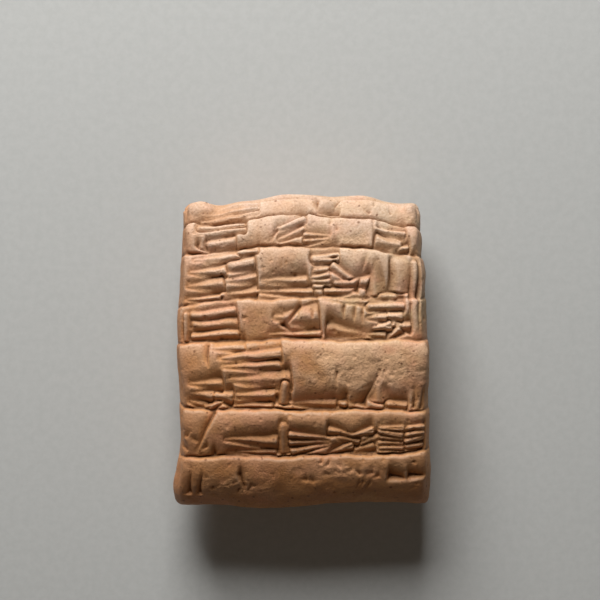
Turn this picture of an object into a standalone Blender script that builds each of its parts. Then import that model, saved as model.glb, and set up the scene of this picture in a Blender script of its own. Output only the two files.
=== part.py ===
"""A small clay tablet with ruled rows of stylus strokes, lying on its back, written face up.

The body is a pillow of clay: a block that tapers a little towards its top row, with crowned faces
and rounded edges. Six ruled grooves part the written face into seven rows, and each row swells
between its grooves. The rows carry the prints of a stylus, each an inverted pyramid with a broad
head and a long tail. The prints are plain marks in rows and spell nothing.

+X runs to the right along the rows, +Y towards the top row and +Z out of the written face. The
origin lies on the resting surface, under the middle of the tablet. Run it with
blender --background --python part.py, or from Blender's text editor.
"""
import math

import bmesh
import bpy
import numpy as np
from mathutils import Vector

MM = 0.001

# Driving dimensions of the body, in millimetres
HALF_HEIGHT = 22.5         # middle to the top edge, and to the lower edge
HALF_WIDTH = 17.9          # mean distance of a side from the middle line
FACE_RISE = 7.86           # widest level to the crest of the written face, under the rows' swell
BACK_DROP = 7.1            # widest level to the resting spot
SIDE_FALL = 1.0            # how much the written face falls towards its sides
END_FALL = 3.3             # how much it falls towards the top and lower edges
BACK_FALL = 2.0            # how much the reverse falls, both ways
SPOT_CUT = 0.35            # what the resting spot takes off the crown of the reverse
FOOT = 22.5                # middle to the flat of the lower edge
RULE_DEPTH = 0.42          # depth of a ruled groove below the foot of its rows' swell
SWELLS = (0.75, 0.85, 0.85, 0.75, 1.1, 0.95, 0.65)  # how far each row swells, top row first

# Distance of each side from the middle line, at heights up the tablet (height, distance)
LEFT_SIDE = ((-22.5, -18.25), (-19.4, -18.42), (-16.2, -17.76), (-12.4, -17.39), (-6.3, -17.35),
             (1.8, -17.66), (9.0, -17.39), (13.5, -17.11), (18.0, -16.84), (22.5, -16.65))
RIGHT_SIDE = ((-22.5, 18.3), (-19.1, 18.4), (-11.3, 18.1), (-4.5, 17.9), (0.9, 17.88),
              (5.6, 17.54), (10.8, 17.2), (15.1, 16.78), (19.4, 16.65), (22.5, 16.56))
# Distance of the two ends from the middle, at places across the tablet (across, distance)
TOP_EDGE = ((-17.9, 21.5), (-15.2, 21.5), (-12.7, 21.05), (-9.7, 21.5), (-6.8, 21.85), (-3.6, 22.38),
            (0.9, 22.46), (3.6, 22.35), (10.7, 22.2), (12.5, 21.65), (14.0, 21.4), (17.9, 21.5))
LOWER_EDGE = ((-17.9, 22.35), (-10.7, 22.4), (-7.5, 22.65), (-2.7, 22.8), (0.4, 22.8), (4.0, 22.7),
              (7.2, 22.4), (10.5, 21.9), (13.4, 21.85), (17.9, 22.2))
# Tightness of the corners: a high power is a tight corner (lower left, lower right, top left, top right)
CORNER_POWERS = (57.0, 63.0, 37.0, 51.0)

# Ruled grooves: height at the middle line, and what the left and right ends add to it
RULES = ((20.0, -1.2, -1.6), (15.8, -1.25, -1.4), (8.55, -1.3, -0.35), (2.75, -0.95, -0.3),
         (-7.2, 0.1, -0.3), (-13.9, -0.4, 0.5))

# Mesh lines: across the tablet, along each row (as shares of it) and round the rim
ACROSS = (0.0, 0.13, 0.26, 0.39, 0.52, 0.64, 0.75, 0.84, 0.9, 0.94)
ALONG_ROW = (0.06, 0.22, 0.5, 0.78, 0.94)
RIM = (0.965, 0.983, 0.993, 0.998, 1.0)
BACK_LINES = (0.0, 0.17, 0.33, 0.48, 0.63, 0.76, 0.86, 0.93, 0.966, 0.987, 0.998)

# Stylus prints of each row: kind, heads at, tails at (mm across), from, to (share of the row
# counted from its lower groove) and how many
MARKS = (
    (("lines", -7.0, -15.6, 0.3, 0.75, 2), ("hook", 2.2, 4.6, 0.2, 0.8, 1)),
    (("lines", -9.0, -16.2, 0.45, 0.8, 2), ("slashes", -3.4, -0.4, 0.2, 0.85, 2),
     ("lines", 0.4, 3.6, 0.25, 0.7, 3), ("wedge", 15.6, 10.0, 0.2, 0.8, 1)),
    (("lines", -8.6, -16.4, 0.5, 0.85, 3), ("fan", -10.0, -16.0, 0.1, 0.4, 2),
     ("slashes", -13.0, -8.0, 0.12, 0.5, 1), ("lines", 0.0, -6.4, 0.16, 0.34, 2),
     ("ladder", 1.4, 4.6, 0.3, 0.8, 4), ("slashes", 8.6, 5.6, 0.12, 0.62, 2),
     ("wedge", 13.4, 8.8, 0.15, 0.75, 2), ("uprights", 15.0, 16.4, 0.15, 0.85, 2)),
    (("lines", -9.2, -16.3, 0.2, 0.8, 3), ("slashes", -4.4, 0.6, 0.18, 0.85, 3),
     ("fan", 1.6, -4.0, 0.12, 0.45, 2), ("hook", 4.8, 8.2, 0.2, 0.75, 2),
     ("ladder", 11.8, 14.4, 0.2, 0.8, 4), ("uprights", 15.2, 17.0, 0.15, 0.85, 2)),
    (("uprights", -16.8, -15.4, 0.6, 0.92, 1), ("fan", -2.8, -14.0, 0.56, 0.92, 3),
     ("fan", -2.6, -13.6, 0.08, 0.44, 3), ("lines", 3.6, -2.0, 0.1, 0.2, 1),
     ("uprights", -16.6, -14.6, 0.1, 0.44, 2), ("slashes", 5.0, 8.6, 0.06, 0.42, 1),
     ("wedge", 11.6, 8.6, 0.08, 0.46, 1), ("slashes", 13.0, 16.8, 0.06, 0.5, 2)),
    (("slashes", -16.6, -11.6, 0.1, 0.8, 2), ("fan", -3.4, -11.0, 0.14, 0.5, 2),
     ("lines", 3.8, -2.4, 0.18, 0.56, 3), ("hook", 5.0, 7.2, 0.2, 0.6, 1),
     ("ladder", 10.8, 14.2, 0.2, 0.72, 4), ("ladder", 15.0, 17.2, 0.2, 0.72, 3)),
    (("uprights", -16.6, -14.2, 0.3, 0.82, 2), ("slashes", -9.8, -7.2, 0.36, 0.72, 1),
     ("hook", 0.8, 3.2, 0.5, 0.8, 1), ("lines", 8.4, 4.8, 0.52, 0.76, 2),
     ("uprights", 12.4, 15.6, 0.3, 0.86, 2)),
)
PRINT_DEPTH = 0.75         # of the broadest print, and the others in proportion to their width
PRINT_LIFT = 0.8           # how far a print's cutter stands out of the clay
BROADEST = 2.4             # width of the broadest print


def start_empty():
    """Remove what the scene holds, so the script can be run again."""
    for thing in list(bpy.data.objects):
        bpy.data.objects.remove(thing, do_unlink=True)


def clay_material():
    """Baked clay: a warm tan, fully matt."""
    material = bpy.data.materials.new("clay")
    material.use_nodes = True
    shader = material.node_tree.nodes["Principled BSDF"]
    shader.inputs["Base Color"].default_value = (0.40, 0.235, 0.14, 1.0)
    shader.inputs["Roughness"].default_value = 0.9
    shader.inputs["Metallic"].default_value = 0.0
    return material


def curve_through(points, at):
    """A cubic through the points; each stretch leaves and arrives at its neighbours' mean slope."""
    place, value = np.array(points).T
    slope = np.gradient(value, place)
    i = np.clip(np.searchsorted(place, at) - 1, 0, len(place) - 2)
    step = place[i + 1] - place[i]
    s = (at - place[i]) / step
    return ((1 + 2 * s) * (1 - s) ** 2 * value[i] + s * (1 - s) ** 2 * step * slope[i]
            + s * s * (3 - 2 * s) * value[i + 1] + s * s * (s - 1) * step * slope[i + 1])


def outline(u, v):
    """Plan of the tablet for u, v from -1 to 1, as x and y in mm.

    The corners of the square are drawn in: u becomes u (1 - |v|^p / (p + 1)) and v becomes
    v (1 - |u|^p / (p + 1)), with p blended between the tightness of the four corners.
    """
    right = (u + 1) / 2
    top = (v + 1) / 2
    lower_left, lower_right, top_left, top_right = CORNER_POWERS
    power = ((1 - top) * (lower_left * (1 - right) + lower_right * right)
             + top * (top_left * (1 - right) + top_right * right))
    draw_u = 1 - np.abs(v) ** power / (power + 1)
    draw_v = 1 - np.abs(u) ** power / (power + 1)
    u = u * draw_u
    v = v * draw_v
    left_x = curve_through(LEFT_SIDE, v * HALF_HEIGHT)
    right_x = curve_through(RIGHT_SIDE, v * HALF_HEIGHT)
    x = (left_x + right_x) / 2 + u * (right_x - left_x) / 2
    edge = np.where(v > 0, curve_through(TOP_EDGE, u * HALF_WIDTH),
                    curve_through(LOWER_EDGE, u * HALF_WIDTH))
    y = v * (HALF_HEIGHT + np.abs(v) ** 3 * (edge - HALF_HEIGHT))
    return x, y


def shoulder(u, v, side_power, end_power):
    """1 over the middle of a face and 0 at the widest level: ((1 - |u|^s) (1 - |v|^e))^(1/2.4)."""
    towards_side = 1 - np.minimum(np.abs(u), 1.0) ** side_power
    towards_end = 1 - np.minimum(np.abs(v), 1.0) ** end_power
    return (towards_side * towards_end) ** (1 / 2.4)


def rule_height(rule, u):
    """Height of a ruled groove, in mm, at u across the tablet: its ends droop with u squared."""
    middle, left, right = RULES[rule]
    return middle + np.where(u < 0, left, right) * u * u


def row_limits(row, u):
    """Lower and upper limit of a row, in mm, at u across the tablet."""
    upper = rule_height(row - 1, u) if row > 0 else HALF_HEIGHT + 0.0 * u
    lower = rule_height(row, u) if row < len(RULES) else -HALF_HEIGHT + 0.0 * u
    return lower, upper


def row_swell(u, v):
    """How far the face stands out at a point. At the share s of a row's height it follows the roll
    (1 - (1 - s)^2.2) (1 - s^16), which rises gently and drops steeply to the row's upper groove."""
    height = v * HALF_HEIGHT
    stand = np.zeros_like(height)
    for row, swell in enumerate(SWELLS):
        lower, upper = row_limits(row, u)
        share = np.clip((height - lower) / (upper - lower), 0, 1)
        inside = (height >= lower) & (height < upper)
        roll = (1 - (1 - share) ** 2.2) * (1 - share ** 16)
        stand = np.where(inside, swell * roll - RULE_DEPTH * (1 - roll) ** 6, stand)
    rim = np.maximum(np.abs(u), np.abs(v) ** 2)
    fade = np.clip((0.985 - rim) / 0.08, 0, 1)
    return fade * stand


def face_point(u, v):
    """The written face at u, v: x, y, z in mm."""
    x, y = outline(u, v)
    crown = FACE_RISE - SIDE_FALL * np.abs(u) ** 2.4 - END_FALL * np.abs(v) ** 3
    z = BACK_DROP + shoulder(u, v, 28.0, 9.0) * crown + row_swell(u, v)
    return x, flatten_foot(y), z


def back_point(u, v):
    """The reverse at u, v: x, y, z in mm, cut off flat at z = 0 for the resting spot."""
    x, y = outline(u, v)
    crown = BACK_DROP + SPOT_CUT - BACK_FALL * (np.abs(u) ** 2.2 + np.abs(v) ** 2.2)
    z = BACK_DROP - shoulder(u, v, 9.0, 7.0) * crown
    return x, flatten_foot(y), np.maximum(z, 0.0)


def flatten_foot(y):
    """Press the lower edge flat where it passes the foot."""
    return np.maximum(y, -FOOT)


def mirrored(lines):
    """The lines with their mirror images, in order."""
    return sorted({side * line for line in lines for side in (-1, 1)})


def face_rows():
    """For every mesh line along the rows, a function of u that gives its v."""
    rows = [lambda u, v=v: -v + 0 * u for v in reversed(RIM)]
    for row in range(len(RULES), -1, -1):
        for share in ALONG_ROW:
            lower_end = row == len(RULES) and share < 0.1
            top_end = row == 0 and share > 0.6
            if not (lower_end or top_end):
                rows.append(lambda u, row=row, share=share: row_line(row, share, u))
        if row > 0:
            rows.append(lambda u, row=row: rule_height(row - 1, u) / HALF_HEIGHT)
    rows += [lambda u, v=v: v + 0 * u for v in RIM]
    return rows


def row_line(row, share, u):
    """v of the mesh line at a share of a row's height."""
    lower, upper = row_limits(row, u)
    return (lower + share * (upper - lower)) / HALF_HEIGHT


def grid_faces(bm, x, y, z, upward):
    """Add a grid of points to the mesh, with its quads, and give the points back as rows."""
    points = [[bm.verts.new((px * MM, py * MM, pz * MM)) for px, py, pz in zip(*row)]
              for row in zip(x, y, z)]
    for low, high in zip(points, points[1:]):
        for a, b, c, d in zip(low, low[1:], high[1:], high):
            bm.faces.new((a, b, c, d) if upward else (d, c, b, a))
    return points


def rim_edges(bm, points):
    """The edges round a grid of points."""
    loop = points[0] + [row[-1] for row in points[1:]] + points[-1][-2::-1]
    loop += [row[0] for row in points[-2:0:-1]]
    pairs = zip(loop, loop[1:] + loop[:1])
    return [bm.edges.get(pair) for pair in pairs]


def tablet_blank():
    """The body with its rows and ruled grooves: two crowned grids bridged round the rim."""
    bm = bmesh.new()
    across = np.array(mirrored(ACROSS + RIM))
    v = np.array([row(across) for row in face_rows()])
    u = np.tile(across, (len(v), 1))
    face = grid_faces(bm, *face_point(u, v), upward=True)

    back_lines = np.array(mirrored(BACK_LINES))
    back_u, back_v = np.meshgrid(back_lines, back_lines)
    back = grid_faces(bm, *back_point(back_u, back_v), upward=False)

    bmesh.ops.bridge_loops(bm, edges=rim_edges(bm, face) + rim_edges(bm, back))
    bmesh.ops.recalc_face_normals(bm, faces=bm.faces[:])
    bmesh.ops.triangulate(bm, faces=bm.faces[:])
    mesh = bpy.data.meshes.new("clay_tablet")
    bm.to_mesh(mesh)
    bm.free()
    mesh.shade_smooth()
    return mesh


def surface_at(x, y):
    """Point and outward normal of the written face at x, y in mm on the face."""
    step = 0.01
    u = x / HALF_WIDTH + np.array([0.0, step, 0.0])
    v = y / HALF_HEIGHT + np.array([0.0, 0.0, step])
    middle, right, up = (Vector(p) for p in zip(*face_point(u, v)))
    return middle, (right - middle).cross(up - middle).normalized()


def print_cutter(bm, head, tail, width):
    """One stylus print: an inverted pyramid from its head to its tail.

    Its mouth is a triangle, width wide at the head, and its deepest point lies a quarter of the
    way along. The mouth is widened about that point until it stands clear of the clay.
    """
    depth = PRINT_DEPTH * (0.45 + 0.55 * width / BROADEST)
    head_point, head_normal = surface_at(*head)
    tail_point, tail_normal = surface_at(*tail)
    along = tail_point - head_point
    across = head_normal.cross(along).normalized() * width / 2
    deepest = head_point + along * 0.25 - head_normal * depth
    mouth = (head_point + across, head_point - across, tail_point)
    grow = 1 + PRINT_LIFT / depth
    corners = [bm.verts.new((deepest + (corner - deepest) * grow) * MM) for corner in mouth]
    apex = bm.verts.new(deepest * MM)
    left, right, end = corners
    for face in ((left, end, right), (left, right, apex), (right, end, apex), (end, left, apex)):
        bm.faces.new(face)


def spread(low, high, count):
    """Even places from low to high; a single one goes in the middle."""
    if count == 1:
        return [(low + high) / 2]
    return [low + (high - low) * i / (count - 1) for i in range(count)]


def mark_prints(kind, start, end, low, high, count):
    """The prints of one mark as (head x, head y, tail x, tail y, width), y rising from low to high."""
    tall = high - low
    if kind == "lines":
        width = min(0.8 * tall / count + 0.5, 1.7)
        return [(start, y, end, y, width) for y in spread(low, high, count)]
    if kind == "fan":
        meet = (low + high) / 2
        return [(start, y, end, meet + 0.15 * (y - meet), 1.5) for y in spread(low, high, count)]
    if kind == "uprights":
        return [(x, high, x, low, 1.6) for x in spread(start, end, count)]
    if kind == "slashes":
        lean = 0.5 * (end - start)
        places = spread(start, end - lean, count)
        return [(x, high, x + lean, low, 1.9) for x in places]
    if kind == "wedge":
        lean = 0.35 * (end - start)
        places = spread(start, start + 2 * lean, count)
        return [(x, low + 0.3 * tall, x + lean * 1.9, high, BROADEST) for x in places]
    if kind == "hook":
        lean = 0.55 * (end - start)
        places = spread(start, end - lean, count)
        return [(x, (low + high) / 2, x + lean, high, 1.8) for x in places]
    rungs = [(start + 0.3, y, end - 0.3, y, 0.7) for y in spread(low + 0.4, high - 0.3, count)]
    return rungs + [(x, high + 0.2, x, low - 0.2, 0.9) for x in (start, end)]


def all_prints():
    """Every print of the written face as (head, tail, width), in mm on the face."""
    prints = []
    for row, marks in enumerate(MARKS):
        for kind, start, end, low_share, high_share, count in marks:
            u = np.array((start + end) / 2 / HALF_WIDTH)
            lower, upper = row_limits(row, u)
            low = float(lower + low_share * (upper - lower))
            high = float(lower + high_share * (upper - lower))
            for hx, hy, tx, ty, width in mark_prints(kind, start, end, low, high, count):
                prints.append(((hx, hy), (tx, ty), width))
    return prints


def stylus_cutter():
    """All prints as one hidden mesh of pyramids."""
    bm = bmesh.new()
    for head, tail, width in all_prints():
        print_cutter(bm, head, tail, width)
    bmesh.ops.recalc_face_normals(bm, faces=bm.faces[:])
    mesh = bpy.data.meshes.new("stylus_prints")
    bm.to_mesh(mesh)
    bm.free()
    cutter = bpy.data.objects.new("stylus_prints", mesh)
    cutter.display_type = "WIRE"
    cutter.hide_render = True
    bpy.context.scene.collection.objects.link(cutter)
    return cutter


def make_tablet():
    """The tablet: its blank, with the stylus prints cut out of the written face."""
    mesh = tablet_blank()
    mesh.materials.append(clay_material())
    tablet = bpy.data.objects.new("clay_tablet", mesh)
    bpy.context.scene.collection.objects.link(tablet)
    cut = tablet.modifiers.new("stylus prints", "BOOLEAN")
    cut.operation = "DIFFERENCE"
    cut.solver = "EXACT"
    cut.use_self = True
    cut.object = stylus_cutter()
    return tablet


start_empty()
make_tablet()
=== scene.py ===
# %% [markdown]
# # A clay tablet with ruled rows of stylus prints
#
# The real object is one piece of clay that fits in a palm. A scribe patted a lump into a pillow,
# ruled it into rows with a straight edge or a thread, and pressed the end of a cut reed into the
# damp clay, again and again. Each press leaves a small wedge-shaped print. The clay then dried,
# and in a few thousand years its high places rubbed pale and its low places filled with brown.
#
# This lesson makes the visible surface of that tablet as one closed mesh. The plan has five steps:
# 1. read the fixed frame, which holds the real size;
# 2. work out the smooth pillow as a function of two parameters;
# 3. work out the relief, rows, prints and wear, as a height map laid over the pillow;
# 4. push the pillow's points out by the relief and sew face and reverse together;
# 5. give it clay: colour, roughness and grain from shader nodes.
# The prints are plain strokes in rows. They spell nothing.

# %% Load the fixed frame
import math

import bpy
import numpy as np
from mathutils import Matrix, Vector


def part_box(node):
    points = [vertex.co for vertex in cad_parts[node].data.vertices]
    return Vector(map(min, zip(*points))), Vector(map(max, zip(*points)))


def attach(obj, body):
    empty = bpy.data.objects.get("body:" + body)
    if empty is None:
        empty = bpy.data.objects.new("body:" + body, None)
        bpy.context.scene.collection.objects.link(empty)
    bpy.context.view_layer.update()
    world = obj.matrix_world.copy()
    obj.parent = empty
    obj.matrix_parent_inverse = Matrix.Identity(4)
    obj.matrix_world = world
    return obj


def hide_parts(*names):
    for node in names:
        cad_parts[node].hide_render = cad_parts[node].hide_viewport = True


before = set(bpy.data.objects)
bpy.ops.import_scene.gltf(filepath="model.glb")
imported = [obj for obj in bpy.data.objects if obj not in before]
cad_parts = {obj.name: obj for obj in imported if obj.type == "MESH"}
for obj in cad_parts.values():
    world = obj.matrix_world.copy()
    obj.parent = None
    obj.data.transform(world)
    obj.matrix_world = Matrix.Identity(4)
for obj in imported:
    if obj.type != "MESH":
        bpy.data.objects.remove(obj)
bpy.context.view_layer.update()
LOW, HIGH = (np.array(corner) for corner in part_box("clay_tablet"))
MM = 0.001
HALF_WIDTH, HALF_HEIGHT, THICKNESS = (HIGH - LOW) / MM * (0.5, 0.5, 1.0)
print(f"tablet {2 * HALF_WIDTH:.1f} x {2 * HALF_HEIGHT:.1f} x {THICKNESS:.1f} mm")

# %% [markdown]
# ## The pillow's outline
#
# Seen from above, the tablet is a rectangle that narrows a little towards its first row, with
# sides that wander and four corners of different tightness. A drawn curve would do, but every
# point of the surface needs to know how it moves with the outline, so the outline is a function:
# it takes a square from -1 to 1 and gives back the plan. Each side is a smooth curve through a few
# points, and a corner is drawn in by a high power of the distance, which sets how tight it is.

# %% Outline as a function of u and v
LEFT_SIDE = ((-1.0, -0.99), (-0.86, -1.0), (-0.72, -0.965), (-0.55, -0.945), (-0.28, -0.943),
             (0.08, -0.96), (0.4, -0.945), (0.6, -0.93), (0.8, -0.915), (1.0, -0.905))
RIGHT_SIDE = ((-1.0, 0.99), (-0.85, 0.995), (-0.5, 0.983), (-0.2, 0.973), (0.04, 0.972),
              (0.25, 0.953), (0.48, 0.935), (0.67, 0.912), (0.86, 0.905), (1.0, 0.9))
TOP_EDGE = ((-1.0, 0.955), (-0.85, 0.955), (-0.71, 0.935), (-0.54, 0.956), (-0.38, 0.97),
            (-0.2, 0.998), (0.05, 1.0), (0.2, 0.992), (0.6, 0.986), (0.7, 0.962), (0.78, 0.95),
            (1.0, 0.955))
LOWER_EDGE = ((-1.0, 0.992), (-0.6, 0.99), (-0.42, 1.0), (-0.15, 1.004), (0.02, 0.998),
              (0.18, 0.98), (0.5, 0.965), (0.75, 0.972), (1.0, 0.985))
CORNER_POWERS = ((57.0, 63.0), (37.0, 51.0))  # (lower left, lower right), (top left, top right)


def curve_through(points, at):
    """A cubic through the points; each stretch leaves and arrives at its neighbours' mean slope."""
    place, value = np.array(points).T
    slope = np.gradient(value, place)
    i = np.clip(np.searchsorted(place, at) - 1, 0, len(place) - 2)
    step = place[i + 1] - place[i]
    s = (at - place[i]) / step
    return ((1 + 2 * s) * (1 - s) ** 2 * value[i] + s * (1 - s) ** 2 * step * slope[i]
            + s * s * (3 - 2 * s) * value[i + 1] + s * s * (s - 1) * step * slope[i + 1])


def outline(u, v):
    """Plan in mm. The square's corners are drawn in: u becomes u (1 - |v|^p / (p + 1)) and v
    becomes v (1 - |u|^p / (p + 1)), which leaves each corner round and all mesh lines smooth. The
    tightness p is blended between the four corners."""
    right, top = (u + 1) / 2, (v + 1) / 2
    (lower_left, lower_right), (top_left, top_right) = CORNER_POWERS
    power = ((1 - top) * (lower_left * (1 - right) + lower_right * right)
             + top * (top_left * (1 - right) + top_right * right))
    u, v = (u * (1 - np.abs(v) ** power / (power + 1)), v * (1 - np.abs(u) ** power / (power + 1)))
    left_x, right_x = curve_through(LEFT_SIDE, v), curve_through(RIGHT_SIDE, v)
    x = HALF_WIDTH * ((left_x + right_x) / 2 + u * (right_x - left_x) / 2)
    edge = np.where(v > 0, curve_through(TOP_EDGE, u), curve_through(LOWER_EDGE, u))
    y = HALF_HEIGHT * v * (1 + np.abs(v) ** 3 * (edge - 1))
    return x, np.maximum(y, -HALF_HEIGHT)


corner_x, corner_y = outline(np.array([1.0]), np.array([1.0]))
print(f"top right corner is rounded to {corner_x[0]:.1f}, {corner_y[0]:.1f} mm")

# %% [markdown]
# ## The pillow's section
#
# Across its thickness the tablet is widest about half way up, and both faces are crowned like a
# cushion. A subdivided cube could be inflated into this, but then the rows would have no ruler to
# follow. Here each face is a height over the plan: a crown that falls towards the edges, times a
# shoulder that drops to nothing at the widest level. The written face is the taller half and the
# reverse is cut off flat where it rests.

# %% Face and reverse as functions of u and v
WIDEST = 0.444 * THICKNESS      # level at which the tablet is widest
SIDE_FALL, END_FALL = 1.0, 3.3  # how far the written face falls towards its sides and ends, mm
BACK_FALL = 2.0                 # the same for the reverse, both ways
SPOT_CUT = 0.35                 # what the flat resting spot takes off the crown of the reverse


def shoulder(u, v, side_power, end_power):
    """1 over the middle and 0 at the widest level: ((1 - |u|^s) (1 - |v|^e))^(1/2.4), where a high
    s or e keeps that side flat until close to its edge."""
    towards_side = 1 - np.minimum(np.abs(u), 1) ** side_power
    towards_end = 1 - np.minimum(np.abs(v), 1) ** end_power
    return (towards_side * towards_end) ** (1 / 2.4)


def written_face(u, v):
    """Points of the smooth written face, in mm, as an array of x, y, z."""
    x, y = outline(u, v)
    crown = THICKNESS - WIDEST - SIDE_FALL * np.abs(u) ** 2.4 - END_FALL * np.abs(v) ** 3
    return np.stack([x, y, WIDEST + shoulder(u, v, 28.0, 9.0) * crown], axis=-1)


def reverse_face(u, v):
    """Points of the smooth reverse, in mm, before its resting spot is pressed flat."""
    x, y = outline(u, v)
    crown = WIDEST + SPOT_CUT - BACK_FALL * (np.abs(u) ** 2.2 + np.abs(v) ** 2.2)
    return np.stack([x, y, WIDEST - shoulder(u, v, 9.0, 7.0) * crown], axis=-1)


print(f"crest at {written_face(np.zeros(1), np.zeros(1))[0, 2]:.1f} mm, widest at {WIDEST:.1f} mm")

# %% [markdown]
# ## Mesh lines spaced along the surface
#
# Equal steps of u would leave long thin cells on the steep edges and crowd the middle. So the
# profile is walked once with a measuring tape: its arc length is summed, and mesh lines are put at
# even lengths, further apart on the edges, where there is nothing to read. The tape's readings are
# kept, because the relief is drawn on them: a is the length across from the middle line and b the
# length up from the middle, both in mm along the clay.


# %% Lines at even lengths along a profile
def tape_lines(profile, cells, face_reach, coarser):
    """Parameters and arc lengths of cells + 1 lines from -1 to 1, mirrored about the middle.

    Arc length L is summed along profile(t). The lines stand at even steps of the sum of dL / s(L),
    where the spacing s is 1 up to face_reach and rises smoothly to coarser after.
    """
    q = np.linspace(1.0, 0.0, TAPE_POINTS)
    t = 1 - q ** 2.4            # readings crowd towards the rim, where the profile is steep
    points = profile(t)
    length = np.append(0.0, np.cumsum(np.linalg.norm(np.diff(points, axis=0), axis=1)))
    past = np.clip((length - face_reach) / (length[-1] - face_reach), 0, 1)
    spacing = 1 + (coarser - 1) * past * past * (3 - 2 * past)
    count = np.append(0.0, np.cumsum(np.diff(length) * 2 / (spacing[1:] + spacing[:-1])))
    wanted = np.linspace(0.0, count[-1], cells // 2 + 1)
    half_t, half_length = np.interp(wanted, count, t), np.interp(wanted, count, length)
    return (np.concatenate([-half_t[:0:-1], half_t]),
            np.concatenate([-half_length[:0:-1], half_length]))


TAPE_POINTS = 6001
CELLS_ACROSS, CELLS_ALONG = 272, 336
EVEN_ACROSS, EVEN_ALONG = 16.0, 21.0        # length up to which the lines are evenly spaced, mm
COARSER_ACROSS, COARSER_ALONG = 3.0, 2.6    # spacing at the rim, in spacings of the middle
middle_line = np.zeros(TAPE_POINTS)
face_u, face_a = tape_lines(lambda t: written_face(t, middle_line), CELLS_ACROSS, EVEN_ACROSS,
                            COARSER_ACROSS)
face_v, face_b = tape_lines(lambda t: written_face(middle_line, t), CELLS_ALONG, EVEN_ALONG,
                            COARSER_ALONG)
print(f"spacing {face_a[CELLS_ACROSS // 2 + 1]:.3f} mm on the face,"
      f" {face_a[-1] - face_a[-2]:.3f} mm at the rim; tape {face_a[-1]:.1f} by {face_b[-1]:.1f} mm")

# %% [markdown]
# ## A map for the relief
#
# Rows and prints are far finer than the pillow, and a print's edge has to be crisp. They are drawn
# on a map first: a fine raster laid over the face along the two tapes. Boolean cuts would also
# work, and the frame's solid has them, but a map can be smoothed, worn and measured like a
# drawing, and one lookup then moves each mesh point.


# %% Raster, smoothing and noise
RASTER_STEP = 0.06              # mm
MARGIN = 0.3                    # how far the map reaches beyond the tapes, mm
map_a = np.arange(-face_a[-1] - MARGIN, face_a[-1] + MARGIN, RASTER_STEP)
map_b = np.arange(-face_b[-1] - MARGIN, face_b[-1] + MARGIN, RASTER_STEP)
A, B = np.meshgrid(map_a, map_b)


def smooth(height, radius):
    """Blur with a bell curve of the given radius in mm, by multiplying the map's spectrum with
    exp(-2 (pi f radius)^2). The map is mirrored at its borders, so nothing wraps round."""
    rows, columns = height.shape
    wide = np.pad(height, ((0, rows), (0, columns)), mode="symmetric")
    fb = np.fft.fftfreq(2 * rows, RASTER_STEP)[:, None]
    fa = np.fft.rfftfreq(2 * columns, RASTER_STEP)[None, :]
    bell = np.exp(-2 * (math.pi * radius) ** 2 * (fa * fa + fb * fb))
    return np.fft.irfft2(np.fft.rfft2(wide) * bell, s=wide.shape)[:rows, :columns]


def unevenness(size, seed):
    """Random hills about size mm across, with a mean of 0 and a spread of 1."""
    ground = smooth(np.random.default_rng(seed).standard_normal(A.shape), size / 3)
    return (ground - ground.mean()) / ground.std()


def ease(low, high, x):
    """0 below low, 1 above high, 3s^2 - 2s^3 between."""
    s = np.clip((x - low) / (high - low), 0, 1)
    return s * s * (3 - 2 * s)


print(f"map of {A.shape[1]} x {A.shape[0]} points")

# %% [markdown]
# ## Ruled rows
#
# The scribe ruled the damp clay with a taut thread. Each line sank in, and the clay between two
# lines swelled, so a row is a roll: it rises steeply just below the upper line, runs nearly level,
# and rolls over more gently to the lower line. The lines droop towards the sides and wander, and
# the thread bit deeper in some places than in others.

# %% Rows as rolls between grooves
# Height up the tape at the middle, and what the left and right ends add, in mm. The first seven
# are ruled, and the last one is where the lowest row runs out round the edge
GROOVES = ((24.1, -0.9, -0.9), (20.6, -1.3, -1.8), (15.9, -1.3, -1.5), (8.6, -1.35, -0.35),
           (2.75, -0.95, -0.3), (-7.2, 0.1, -0.3), (-13.95, -0.4, 0.5), (-25.5, 0.0, 0.0))
RULE_DEPTHS = (0.5, 0.6, 0.6, 0.6, 0.6, 0.6, 0.6)           # mm
RULE_WIDTHS = (0.24, 0.24, 0.24, 0.18, 0.18, 0.18, 0.18)    # half width of a groove, mm
# The waves that a groove wanders by: height in mm, radians per mm, and shift per groove
GROOVE_WAVES = ((0.12, 0.43, 2.1), (0.07, 1.13, 1.3), (0.04, 2.9, 3.7))
ROW_SWELL = (0.95, 1.1, 1.1, 0.95, 1.4, 1.2, 0.8)   # height of a row's roll, mm
ROW_BEND = (2.0, 1.8, 1.5, 1.2, 2.2, 1.6, 1.2)      # how late it bends down: the power of 1 - s^p
RISE_SHARP, RISE_SLOW, FALL_SHARP = 0.2, 0.9, 0.15  # lengths over which a roll's ends turn, mm
RIM_FROM, RIM_TO = 16.3, 17.7   # rows die out between these distances from the middle line, mm
rim_fade = 1 - 0.75 * ease(RIM_FROM, RIM_TO, np.abs(A))


def groove_height(groove, a):
    """Place of a groove at a across: its ends droop with the square of a, and it wanders by the
    sum of three sines, height sin(turns a + shift groove)."""
    middle, left, right = GROOVES[groove]
    wander = sum(high * np.sin(turns * a + shift * groove) for high, turns, shift in GROOVE_WAVES)
    return middle + np.where(a < 0, left, right) * (a / HALF_WIDTH) ** 2 + wander


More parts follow.
